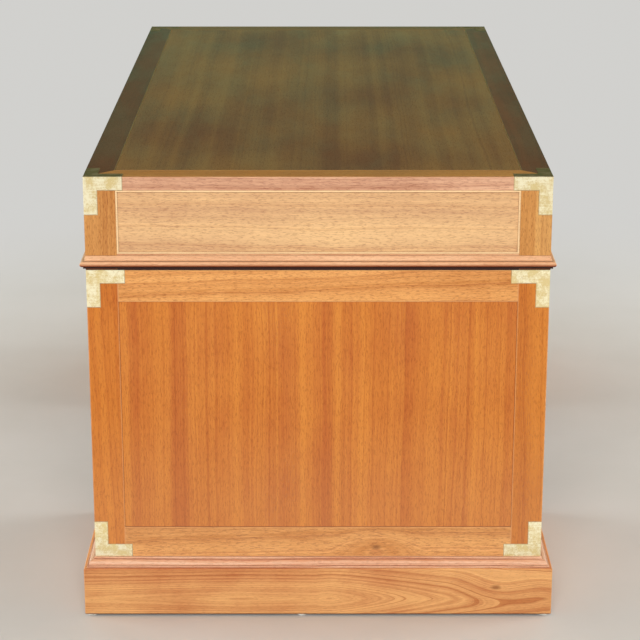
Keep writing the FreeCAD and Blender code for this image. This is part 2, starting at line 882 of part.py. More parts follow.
def frieze(mounts, dowels):
    """Posts, rails, panels, partitions and runners under the desktop boards."""
    faces = faces_of(as_size(0), as_size(0), frieze_foot, s.top_length, s.top_depth)
    front, right, back, left = [site for site, span in faces]
    height = s.frieze_height
    rise = height - frieze_rail
    stile = s.stile_width
    thick = s.frame_thickness
    inner = kneehole_half
    brass_posts = {
        "front_left_post": (front, (-half_length, 0, 0), (thick, stile, height)),
        "front_right_post": (front, (half_length - thick, 0, 0), (thick, stile, height)),
        "back_left_post": (back, (half_length - stile, 0, 0), (stile, stile, height)),
        "back_right_post": (back, (-half_length, 0, 0), (stile, stile, height)),
    }
    stiles = {
        "front_left_stile": (front, (-inner - thick, 0, frieze_rail), (thick, stile, rise)),
        "front_right_stile": (front, (inner, 0, frieze_rail), (thick, stile, rise)),
        "back_left_stile": (back, (inner, 0, frieze_rail), (stile, thick, rise)),
        "back_right_stile": (back, (-inner - stile, 0, frieze_rail), (stile, thick, rise)),
    }
    members = [cut(board(name, *spot), mounts) for name, spot in brass_posts.items()]
    members.extend(board(name, *spot) for name, spot in stiles.items())

    front_span = s.top_length - 2 * thick
    back_span = s.top_length - 2 * stile
    end_span = s.top_depth - 2 * stile
    rail = frieze_rail
    rails = [
        cut(board("front_rail", front, (-front_span / 2, 0, 0), (front_span, stile, rail)), dowels),
        cut(board("back_rail", back, (-back_span / 2, 0, 0), (back_span, thick, rail)), dowels),
        board("right_rail", right, (-end_span / 2, 0, 0), (end_span, s.frieze_board, rail)),
        board("left_rail", left, (-end_span / 2, 0, 0), (end_span, s.frieze_board, rail)),
    ]
    sub_part("frieze_frame", members + rails)

    spans = (
        ("right_end", right, -end_span / 2, end_span / 2),
        ("left_end", left, -end_span / 2, end_span / 2),
        ("back_left", back, inner + stile, back_span / 2),
        ("back_middle", back, -inner, inner),
        ("back_right", back, -back_span / 2, -inner - stile),
    )
    pairs = [frieze_panel(name, site, low, high) for name, site, low, high in spans]
    sub_part("frieze_panels", [panel for panel, bead in pairs])
    sub_part("frieze_beads", [bead for panel, bead in pairs])

    depth = s.top_depth - thick
    runner_back = depth - stile
    clearance = (thick - s.partition) / 2
    supports = []
    for side, k in (("left", -1), ("right", 1)):
        low = inner + clearance if k > 0 else -inner - clearance - s.partition
        partition = board(
            side + "_partition",
            front,
            (low, stile, 0),
            (s.partition, runner_back, height),
        )
        supports.append(partition)
        near_edge = s.runner_width + clearance
        far_edge = s.runner_width + thick - s.frieze_board
        runners = {
            "centre": (inner - s.runner_width, near_edge, runner_back),
            "inner": (inner + thick - clearance, near_edge, runner_back),
            "outer": (half_length - thick - s.runner_width, far_edge, end_span),
        }
        for place_name, (start, wide, long) in runners.items():
            u = start if k > 0 else -start - wide
            spot = ((u, stile, 0), (wide, long, frieze_rail))
            supports.append(board(f"{side}_{place_name}_runner", front, *spot))
    sub_part("frieze_partitions", supports)


def base_moulding():
    """A torus between quirks with a cove above, mitred round the foot of the frieze."""
    out = s.moulding_projection
    nose = s.torus_radius
    fascia = nose + s.fascia_setback
    quirk = nose + s.torus_quirk
    middle = s.torus_lift
    low = middle - nose
    high = middle + nose
    cove_out = nose + s.cove_setback
    cove_in = out - s.moulding_margin
    cove_foot = high + s.fillet_height
    cove_radius = cove_in - cove_out
    section = [
        (out, 0),
        (fascia, 0),
        (fascia, low - s.fillet_height),
        (quirk, low - s.fillet_height),
        (quirk, low),
        (nose, low),
        (0, middle),
        (nose, high),
        (quirk, high),
        (quirk, cove_foot),
        (cove_out, cove_foot),
        (cove_in, cove_foot + cove_radius),
        (cove_in, s.moulding_height),
        (out, s.moulding_height),
    ]
    lengths = mitred_frame(
        "frieze_moulding",
        as_size(0),
        as_size(0),
        frieze_foot + s.moulding_lift,
        s.top_length + 2 * out,
        s.top_depth + 2 * out,
        section,
        out,
        {5: -nose, 6: -nose, 10: cove_radius},
    )
    sub_part("frieze_moulding", lengths)


def frieze_drawers():
    rise = s.frieze_height - frieze_rail
    side_clear = s.pedestal_width - 2 * s.frame_thickness
    side_middle = kneehole_half + s.pedestal_width / 2
    drawer("left_frieze_drawer", -side_middle, drawer_floor, side_clear, rise, [as_size(0)])
    drawer("right_frieze_drawer", side_middle, drawer_floor, side_clear, rise, [as_size(0)])
    offset = kneehole_half - s.pull_inset
    width = 2 * kneehole_half
    drawer("centre_frieze_drawer", as_size(0), drawer_floor, width, rise, [-offset, offset])


# --- The whole desk ----------------------------------------------------------------------------


def make_desk():
    centres = {
        "left": s.pedestal_width / 2 - half_length,
        "right": half_length - s.pedestal_width / 2,
    }
    points = [point for x in centres.values() for point in dowel_points(x)]
    dowels = sub_part(
        "locating_dowels",
        [
            upright("Cylinder", f"dowel_{number}", point, s.dowel_radius, s.dowel_length)
            for number, point in enumerate(points, start=1)
        ],
    )
    feet = [point for x in centres.values() for point in glide_points(x)]
    sub_part(
        "glides",
        [
            upright("Prism", f"glide_{number}", point, s.glide_radius, s.glide_height)
            for number, point in enumerate(feet, start=1)
        ],
    )
    for side, x in centres.items():
        pedestal(side, x, dowels)
    mounts = desktop_boards()
    frieze(mounts, dowels)
    base_moulding()
    frieze_drawers()


def check_model():
    """Every object has to be up to date, and every sub-part a valid shape."""
    doc.recompute()
    for item in doc.Objects:
        if "Invalid" in item.State or "Error" in item.State:
            raise RuntimeError(f"{item.Label} failed: {item.State}")
    for item in sub_parts:
        if item.Shape.isNull() or not item.Shape.isValid():
            raise RuntimeError(f"{item.Label} has no valid shape")


def write_parts():
    os.makedirs("parts", exist_ok=True)
    for item in sub_parts:
        item.Shape.exportStep(f"parts/{item.Label}.step")
    print(len(sub_parts), "sub-parts written")


make_desk()
check_model()
write_parts()
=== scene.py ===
import math
import random
from typing import NamedTuple

import bmesh
import bpy
import numpy as np
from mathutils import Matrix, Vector

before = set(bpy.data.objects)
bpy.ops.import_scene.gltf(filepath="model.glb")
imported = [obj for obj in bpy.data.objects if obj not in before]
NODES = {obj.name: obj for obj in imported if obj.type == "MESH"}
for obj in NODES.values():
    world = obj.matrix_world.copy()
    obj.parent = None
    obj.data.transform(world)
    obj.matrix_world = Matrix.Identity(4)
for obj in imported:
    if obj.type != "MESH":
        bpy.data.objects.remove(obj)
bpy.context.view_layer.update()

# --- Sizes, in metres --------------------------------------------------------------------------

# The legs of the brass corner mounts, and how much of a panel's edge its frame or bead covers.
MOUNT_LEG = 0.064
MOUNT_WIDTH = 0.023
FRAME_COVER = 0.007
BEAD_COVER = 0.003
# The desk's own plan from its middle, and between which levels its plinths end.
HALF_LENGTH = 0.78
HALF_DEPTH = 0.40
PLINTH_TOP = (0.099, 0.101)
DESK_MIDDLE = Vector((0.0, 0.0, 0.45))
FLOOR_RADIUS = 8.0
# Further than any board reaches, and how finely places of a mesh are told apart, to the metre.
FAR_AWAY = 9.0
PLACES_PER_METRE = 1e5
# Mounts whose middles differ less than this are on one level.
SAME_LEVEL = 0.001

# --- Other numbers -----------------------------------------------------------------------------

# The sockets of a mix of two colours, three that go in and one that comes out, and the parts of a
# board's local places.
MIX_FACTOR, MIX_FIRST, MIX_SECOND, MIX_RESULT = 0, 6, 7, 2
ALONG, ACROSS, THROUGH = 0, 1, 2
# How much of a face's normal may point up or down where the face stands upright, and must where it
# lies level.
UPRIGHT = 0.3
LEVEL = 0.95
# Where most of a noise lies.
NOISE_SPAN = (0.3, 0.7)


# --- Small helpers -----------------------------------------------------------------------------


def linear(red, green, blue):
    """A colour written as 0-255 sRGB, as the linear values that shaders take."""

    def one(value):
        value /= 255
        return value / 12.92 if value <= 0.04045 else ((value + 0.055) / 1.055) ** 2.4

    return one(red), one(green), one(blue), 1.0


class Tree:
    """Shorthand for making shader nodes and wiring them together."""

    def __init__(self, owner):
        owner.use_nodes = True
        self.tree = owner.node_tree
        self.tree.nodes.clear()

    def add(self, kind, inputs=None, **settings):
        node = self.tree.nodes.new("ShaderNode" + kind)
        for name, value in settings.items():
            setattr(node, name, value)
        for name, value in (inputs or {}).items():
            self.feed(node.inputs[name], value)
        return node

    def feed(self, socket, value):
        if isinstance(value, bpy.types.NodeSocket):
            self.tree.links.new(value, socket)
        else:
            socket.default_value = value

    def math(self, operation, *values, clamp=False):
        inputs = dict(enumerate(values))
        return self.add("Math", inputs, operation=operation, use_clamp=clamp).outputs[0]

    def vector(self, operation, *values):
        inputs = dict(enumerate(values))
        return self.add("VectorMath", inputs, operation=operation).outputs[0]

    def length(self, vector):
        return self.add("VectorMath", {0: vector}, operation="LENGTH").outputs["Value"]

    def split(self, vector):
        return self.add("SeparateXYZ", {0: vector}).outputs

    def noise(self, vector, scale, detail=2.0, roughness=0.5):
        """Noise of a vector, whose parts are multiplied by scale first."""
        inputs = {
            "Vector": self.vector("MULTIPLY", vector, scale),
            "Scale": 1.0,
            "Detail": detail,
            "Roughness": roughness,
        }
        return self.add("TexNoise", inputs).outputs

    def line_noise(self, value, scale, detail=1.0, roughness=0.5):
        """Noise along one number."""
        inputs = {
            "W": self.math("MULTIPLY", value, scale),
            "Scale": 1.0,
            "Detail": detail,
            "Roughness": roughness,
        }
        return self.add("TexNoise", inputs, noise_dimensions="1D").outputs["Fac"]

    def ramp(self, value, low, high, start=0.0, end=1.0):
        """start where value is at or under low, end where it is at or over high, eased between."""
        inputs = {
            "Value": value,
            "From Min": low,
            "From Max": high,
            "To Min": start,
            "To Max": end,
        }
        return self.add("MapRange", inputs, interpolation_type="SMOOTHSTEP").outputs[0]

    def mix(self, factor, first, second, blend="MIX"):
        node = self.add("Mix", data_type="RGBA", blend_type=blend)
        self.feed(node.inputs[MIX_FACTOR], factor)
        self.feed(node.inputs[MIX_FIRST], first)
        self.feed(node.inputs[MIX_SECOND], second)
        return node.outputs[MIX_RESULT]

    def attribute(self, name, part="Vector"):
        return self.add("Attribute", attribute_name=name).outputs[part]

    def place(self):
        return self.add("TexCoord").outputs["Object"]

    def normal(self):
        return self.split(self.add("TexCoord").outputs["Normal"])

    def faces(self, direction, threshold=0.5):
        """1 where a face looks along an axis, either way."""
        return self.math("GREATER_THAN", self.math("ABSOLUTE", direction), threshold)

    def bump(self, strength, depth, height):
        inputs = {"Strength": strength, "Distance": depth, "Height": height}
        return self.add("Bump", inputs).outputs[0]

    def finish(self, inputs):
        """End the material in a principled shader with these inputs."""
        shader = self.add("BsdfPrincipled", inputs)
        self.add("OutputMaterial", {"Surface": shader.outputs[0]})


# --- Boards: each solid of a node gets its own grain, tone and rim ------------------------------


def solids(mesh):
    """The polygons of each closed solid. A node's solids follow one another, and each is closed."""
    places = [tuple(round(c * PLACES_PER_METRE) for c in v.co) for v in mesh.vertices]
    loose, found, members = {}, [], []
    for face in mesh.polygons:
        ring = [places[i] for i in face.vertices]
        members.append(face.index)
        for start, end in zip(ring, ring[1:] + ring[:1]):
            if start == end:
                continue
            if loose.get((end, start), 0) > 1:
                loose[end, start] -= 1
            elif (end, start) in loose:
                del loose[end, start]
            else:
                loose[start, end] = loose.get((start, end), 0) + 1
        if not loose:
            found.append(members)
            members = []
    return found


def boards_of(name):
    """Each solid of a node as its vertex numbers and its lowest and highest corner."""
    mesh = NODES[name].data
    points = np.array([v.co for v in mesh.vertices])
    for members in solids(mesh):
        numbers = sorted({i for face in members for i in mesh.polygons[face].vertices})
        corner = points[numbers]
        yield numbers, corner.min(0), corner.max(0)


def write_attribute(mesh, name, values, kind="FLOAT_VECTOR"):
    """Store a value for every vertex, which the material reads by its name."""
    layer = mesh.attributes.new(name, kind, "POINT")
    field = "color" if kind == "FLOAT_COLOR" else "vector"
    layer.data.foreach_set(field, np.asarray(values, np.float32).ravel())


class Wood(NamedTuple):
    """One kind of board: its lighter and its darker colour, the contrast of its broad bands, of
    its short dashes and of its dark lines, how strong the painted highlight along its arrises
    is, how dark its seams have gone, how close its rings are, how high the painted shade and
    painted black shadow line at its foot reach, in metres, and how cloudy it is."""

    light: tuple
    dark: tuple
    bands: float = 1.0
    dashes: float = 1.0
    lines: float = 0.5
    arris_highlight: float = 0.0
    grime: float = 0.0
    rings: float = 1.0
    foot: float = 0.0
    clouds: float = 1.0


WOODS = {
    "panel": Wood((214, 134, 56), (186, 100, 42), 1.1, 0.75, 0.45, grime=0.45),
    "stile": Wood((214, 132, 52), (188, 102, 38), 1.0, 0.75, 0.45, arris_highlight=0.45),
    "rail": Wood((240, 174, 104), (202, 128, 62), 1.1, 1.1, 0.6, arris_highlight=0.35, grime=0.20),
    "post": Wood((226, 162, 90), (192, 124, 62), 1.1, 1.0, 0.5, arris_highlight=0.15, grime=0.25, foot=0.005),
    # The frieze's pale colours are partly its own tone and partly a painted sheen.
    "frieze": Wood((238, 196, 142), (208, 160, 118), 1.1, 0.9, 0.4, grime=0.15),
    "bead": Wood((255, 226, 178), (242, 202, 150), 0.5, 0.4, 0.2),
    # The moulding, its base and the cap are paler by a painted sheen; the cap's lighter colour is a
    # painted highlight.
    "moulding": Wood((246, 200, 156), (212, 150, 104), 0.8, 0.7, 0.4, foot=0.011),
    "base": Wood((246, 200, 156), (212, 150, 104), 0.8, 0.7, 0.4, foot=0.012),
    "cap": Wood((255, 216, 182), (214, 142, 98), 0.9, 0.6, 1.0),
    "plinth": Wood((250, 186, 118), (202, 120, 70), 1.4, 0.45, 1.1, arris_highlight=0.40, rings=2.0),
    # The desktop's colours are darker than the case's as painted shade on the top, which the light
    # only grazes; the end border's golden colour is a painted reflection.
    "field": Wood((142, 98, 46), (108, 58, 27), 0.7, 0.6, 0.4, grime=0.30, clouds=2.3),
    "border": Wood((114, 54, 22), (84, 38, 16), 1.0, 0.5, 0.3, arris_highlight=0.25, grime=0.30),
    "end_border": Wood((208, 142, 62), (164, 102, 40), 1.0, 0.9, 0.6, arris_highlight=0.25, grime=0.30),
    "lining": Wood((222, 182, 128), (196, 150, 98), 1.0, 0.7, 0.6, arris_highlight=0.10, grime=0.20),
}


class Sawing(NamedTuple):
    """How far the heart of the tree is from a board's middle, across its face and in widths of
    the board, and how far the tree may lean through it."""

    offsets: tuple
    lean: float


# The woods that are sawn flat show arched figure. The others have straight grain.
FLAT_SAWN = ("plinth", "lining")
SAWN_FLAT = Sawing((0.1, 0.5), 0.05)
SAWN_STRAIGHT = Sawing((0.8, 1.6), 0.01)
# How far the heart of the tree is through the board, in metres, how far the texture of one board
# is from another's, and how boards of one wood differ in tone and in warmth.
HEART_DEPTHS = (0.10, 0.25)
SHIFTS = (-40, 40)
TONES = (0.94, 1.06)
WARMTHS = (-0.03, 0.03)
# What the upright edges of the desktop show, painted paler than its face as painted light, the
# painted highlight on the sides of its groove and along arrises, sapwood, and a painted sheen low
# on the pedestals.
LIT_EDGE_LIGHT = linear(236, 186, 150)
LIT_EDGE_DARK = linear(190, 134, 102)
GROOVE_HIGHLIGHT = linear(150, 106, 48)
ARRIS_HIGHLIGHT = linear(232, 172, 118)
SAPWOOD_COLOUR = linear(232, 182, 112)
LOW_SHEEN = linear(240, 200, 160)
# What dark lines, dashes, dirt and the painted shade in hollows multiply a colour by, and what the
# painted shade of an underside and the painted black shadow line at a board's foot do.
LINE_TINT = (0.74, 0.56, 0.50, 1.0)
DASH_TINT = (0.68, 0.56, 0.54, 1.0)
DIRT_AND_SHADE_TINT = (0.30, 0.18, 0.12, 1.0)
UNDERSIDE_TINT = (0.52, 0.27, 0.17, 1.0)
FOOT_SHADOW_TINT = (0.06, 0.03, 0.02, 1.0)
# Boards that stand out, by the node and a point inside the board, in metres: how much darker one
# is, the knots, where sapwood starts, and where the rings come to the face in arches, with how
# steeply they do towards either end and how deep they go.
DARKER = {
    # These two desktop borders are darker as painted shade, from how the light falls on one side
    # and one end.
    ("desktop_border", (0.0, 0.37, 0.756)): 0.74,
    ("desktop_border", (0.74, 0.0, 0.756)): 0.42,
    ("frieze_frame", (-0.750, -0.353, 0.680)): 0.88,
}
KNOTS = (
    ("left_plinth", (-0.775, -0.304, 0.053)),
    ("left_frames", (-0.760, -0.099, 0.120)),
)
SAPWOOD = (("frieze_frame", (-0.750, -0.353, 0.680)),)
ARCHES = {("left_plinth", (-0.775, 0.004, 0.031)): (0.55, 0.10, 0.24)}
# What a board without arches has instead.
NO_ARCH = (0.0, 0.0, 1.0)


def wood_of(name, extent):
    """The wood of a board, from its node and how far it reaches along each axis."""
    upright = extent[2] > max(extent[0], extent[1])
    if "box" in name or "partitions" in name:
        return "lining"
    if "carcase" in name:
        return "stile"
    if name == "desktop_field":
        return "field"
    if name == "desktop_border":
        return "end_border" if extent[1] > extent[0] else "border"
    if name == "frieze_beads":
        return "bead"
    if name == "frieze_moulding":
        return "moulding"
    if "panels" in name:
        return "frieze" if name.startswith("frieze") else "panel"
    if "plinth" in name:
        return "cap" if name.endswith("cap") else "plinth"
    if "front" in name:
        return "frieze" if "frieze" in name else "panel"
    if name == "frieze_frame":
        return "post" if upright else "base"
    return "stile" if upright else "rail"


def grain_axes(name, extent):
    """The axes along the grain, across the face and through the board."""
    order = list(np.argsort(-extent))
    if name.endswith("_panels") and not name.startswith("frieze"):
        order.remove(2)
        order.insert(0, 2)
    return order


def hidden_edge(name):
    """How much of a panel's edge its frame or bead covers, in metres."""
    if name == "frieze_panels":
        return BEAD_COVER
    return FRAME_COVER if name.endswith("_panels") else 0.0


class Board:
    """One solid of a node. Local places are metres from its middle, along its grain, across its
    face and through it."""

    def __init__(self, name, number, low, high):
        self.name = name
        self.low = low
        self.high = high
        self.middle = (low + high) / 2
        self.order = grain_axes(name, high - low)
        self.length, self.width, _ = (high - low)[self.order]
        self.kind = wood_of(name, high - low)
        self.dice = random.Random(f"{name} {number}")

    def local(self, place):
        return (np.array(place) - self.middle)[..., self.order]

    def marked(self, marks):
        """The mark of a table that names this board's node and a point inside it."""
        for node, point in marks:
            inside = np.all(self.low <= point) and np.all(point <= self.high)
            if node == self.name and inside:
                return node, point
        return None

    def shift(self):
        return np.array([self.dice.uniform(*SHIFTS) for _ in range(3)])

    def from_pith(self, local):
        """Each place as seen from the heart of the tree, which leans through the board."""
        dice = self.dice
        sawing = SAWN_FLAT if self.kind in FLAT_SAWN else SAWN_STRAIGHT
        centre = [
            dice.uniform(-1, 1) * self.length,
            dice.choice((-1, 1)) * dice.uniform(*sawing.offsets) * self.width,
            dice.choice((-1, 1)) * dice.uniform(*HEART_DEPTHS),
        ]
        lean = dice.uniform(-sawing.lean, sawing.lean)
        mark = self.marked(ARCHES)
        if mark:
            centre = self.local(mark[1])
            lean = 0.0
        away = local - centre
        away[:, THROUGH] += lean * away[:, ALONG]
        return away * (1, WOODS[self.kind].rings, WOODS[self.kind].rings)

    def from_knot(self, local):
        """Each place as seen from the board's knot, which is twice as long as wide and goes right
        through the board."""
        mark = self.marked(KNOTS)
        knot = self.local(mark[1]) if mark else FAR_AWAY
        return (local - knot) * (0.5, 1.0, 0.0)

    def into_sapwood(self, local):
        """How far each place is past the line where sapwood starts, in metres."""
        mark = self.marked(SAPWOOD)
        return (self.local(mark[1]) - local)[:, ACROSS] if mark else 0.0

    def above_foot_shadow(self, points):
        """0 at the foot of the board, and 1 where the painted shadow at its foot ends."""
        foot = WOODS[self.kind].foot
        return (points[:, 2] - self.low[2]) / foot if foot else 1.0

    def tint(self):
        """A little lighter or darker, and a little warmer or cooler, than its wood."""
        tone = self.dice.uniform(*TONES) * DARKER.get(self.marked(DARKER), 1.0)
        warmth = self.dice.uniform(*WARMTHS)
        return np.array([tone * (1 + warmth), tone, tone * (1 - warmth), 1.0])


def dress_boards(name):
    """Give every board of a node its grain, pith, knot, rim distances and two colours."""
    mesh = NODES[name].data
    points = np.array([v.co for v in mesh.vertices])
    names = ("grain", "pith", "arch", "knot", "stain_and_shadow", "below", "above", "rim", "marks")
    layers = {layer: np.zeros((len(points), 3)) for layer in names}
    light = np.ones((len(points), 4))
    dark = np.ones((len(points), 4))
    for number, (vertices, low, high) in enumerate(boards_of(name)):
        board = Board(name, number, low, high)
        kind = WOODS[board.kind]
        local = board.local(points[vertices])
        layers["grain"][vertices] = local + board.shift()
        layers["pith"][vertices] = board.from_pith(local)
        layers["arch"][vertices] = ARCHES.get(board.marked(ARCHES), NO_ARCH)
        layers["knot"][vertices] = board.from_knot(local)
        layers["stain_and_shadow"][vertices, 0] = board.into_sapwood(local)
        layers["stain_and_shadow"][vertices, 1] = board.above_foot_shadow(points[vertices])
        layers["stain_and_shadow"][vertices, 2] = kind.clouds
        layers["below"][vertices] = points[vertices] - low
        layers["above"][vertices] = high - points[vertices]
        layers["rim"][vertices] = (kind.arris_highlight, kind.grime, hidden_edge(name))
        layers["marks"][vertices] = (kind.bands, kind.dashes, kind.lines)
        tint = board.tint()
        light[vertices] = np.array(linear(*kind.light)) * tint
        dark[vertices] = np.array(linear(*kind.dark)) * tint
    for layer, values in layers.items():
        write_attribute(mesh, layer, values)
    write_attribute(mesh, "wood_light", light, "FLOAT_COLOR")
    write_attribute(mesh, "wood_dark", dark, "FLOAT_COLOR")


def dress_mounts(name):
    """Give every corner mount of a node its distances from its own corner along each axis."""
    mesh = NODES[name].data
    points = np.array([v.co for v in mesh.vertices])
    centre = (points.min(0) + points.max(0)) / 2
    corner = np.zeros((len(points), 3))
    for vertices, low, high in boards_of(name):
        outermost = np.where((low + high) / 2 < centre - SAME_LEVEL, low, high)
        corner[vertices] = np.abs(points[vertices] - outermost)
    write_attribute(mesh, "corner", corner)


# --- Materials ---------------------------------------------------------------------------------


# Scales of the wood's noises, in waves to the metre along the grain, across it and through it.
CLOUD_SCALE = (2.4, 5.0, 5.0)
MOTTLE_SCALE = (11.0, 16.0, 16.0)
FIBRE_SCALE = (36.0, 500.0, 500.0)
RAGGED_SCALE = (60.0, 220.0, 220.0)
PORE_SCALE = (120.0, 720.0, 720.0)
SMEAR_SCALE = (5.0, 14.0, 14.0)
# How often broad bands, fine bands and dark lines come along the rings, to the metre.
BROAD_BANDS = 30.0
FINE_BANDS = 190.0
LATE_WOOD_LINES = 150.0
# How much each noise moves a wood between its dark and its light colour, before the contrasts of
# its own kind.
CLOUD_WEIGHT = 0.9
BROAD_WEIGHT = 1.4
FINE_WEIGHT = 0.7
MOTTLE_WEIGHT = 0.6
FIBRE_WEIGHT = 1.3
# How the rings wander: the scale of each noise, and how far it takes them, in metres.
RING_WANDERS = (((1.4, 5.0, 5.0), 0.022), ((8.0, 42.0, 42.0), 0.0050))
# How pointed the arches of the figure are, where 2 is round, how far a knot pushes the rings
# away and from how near, and how wide the hollows are that get painted shade, in metres.
ARCH_POWER = 1.5
KNOT_PUSH = 0.024
KNOT_REACH = 0.045
HOLLOW_REACH = 0.009
# Where something ends, in metres: it is fully there at or under the first number, and gone from
# the second on. Seams and the painted highlight on arrises go by the distance from an edge,
# heartwood and the dark heart of a knot by the distance from their mark, and the painted sheen low
# on the pedestals by the height.
SEAM_END = (-0.0004, 0.0010)
ARRIS_END = (0.0004, 0.0013)
HEARTWOOD_END = (0.0018, 0.0028)
KNOT_END = (0.003, 0.008)
LOW_SHEEN_END = (0.13, 0.40)
# How far ragged noise moves edges, sapwood and knots, in metres.
RAGGED_EDGE = -0.0010
RAGGED_SAPWOOD = 0.002
RAGGED_KNOT = 0.004
# Where the painted shade and the painted black shadow line at the foot of a board end, as shares of
# the foot's height.
SHADE_END = (0.42, 0.98)
BLACK_END = (0.20, 0.50)
# Between which values of their noises dark lines and pores come up, from how open a place is to
# the sky it counts as a hollow with painted shade, and how far a face must look down to lie in
# painted shade.
LATE_WOOD_SPAN = (0.56, 0.68)
PORE_SPAN = (0.52, 0.64)
HOLLOW_SPAN = (0.25, 0.85)
UNDERSIDE_SPAN = (-0.50, -0.02)
# How strong each mark is at most, as a share of its tint or colour.
SAPWOOD_SHARE = 0.35
PORE_SHARE = 0.8
KNOT_SHARE = 0.7
HOLLOW_SHADE_SHARE = 0.80
UNDERSIDE_SHARE = 0.85
SHADE_SHARE = 0.90
LOW_SHEEN_SHARE = 0.08
GROOVE_HIGHLIGHT_SHARE = 0.8


def rim_distance(t):
    """How far a point is from the nearest edge of its own face, in metres."""
    low = t.split(t.attribute("below"))
    high = t.split(t.attribute("above"))
    normal = t.normal()
    nearest = None
    for axis in range(3):
        near = t.math("MINIMUM", low[axis], high[axis])
        reach = t.math("ADD", near, t.faces(normal[axis]))
        nearest = reach if nearest is None else t.math("MINIMUM", nearest, reach)
    return nearest


def ring_radius(t, grain, knot):
    """How far out in the tree a point grew. The rings wander, arch to a soft point where they come
    to the face, and flow round a knot."""
    away = t.attribute("pith")
    for scale, reach in RING_WANDERS:
        wander = t.vector("SUBTRACT", t.noise(grain, scale)["Color"], (0.5, 0.5, 0.5))
        away = t.vector("ADD", away, t.vector("MULTIPLY", wander, (0.0, reach, reach)))
    along, across, through = t.split(away)
    before, behind, deepest = t.split(t.attribute("arch"))
    turned = t.math("SUBTRACT", before, behind)
    steepness = t.math("MULTIPLY_ADD", t.math("LESS_THAN", along, 0.0), turned, behind)
    depth = t.math("MULTIPLY", t.math("ABSOLUTE", along), steepness)
    depth = t.math("DIVIDE", t.math("MULTIPLY", depth, deepest), t.math("ADD", depth, deepest))
    sides = (across, t.math("ADD", through, depth))
    powers = [t.math("POWER", t.math("ABSOLUTE", side), ARCH_POWER) for side in sides]
    radius = t.math("POWER", t.math("ADD", *powers), 1 / ARCH_POWER)
    return t.math("ADD", radius, t.ramp(knot, 0.0, KNOT_REACH, KNOT_PUSH, 0.0))


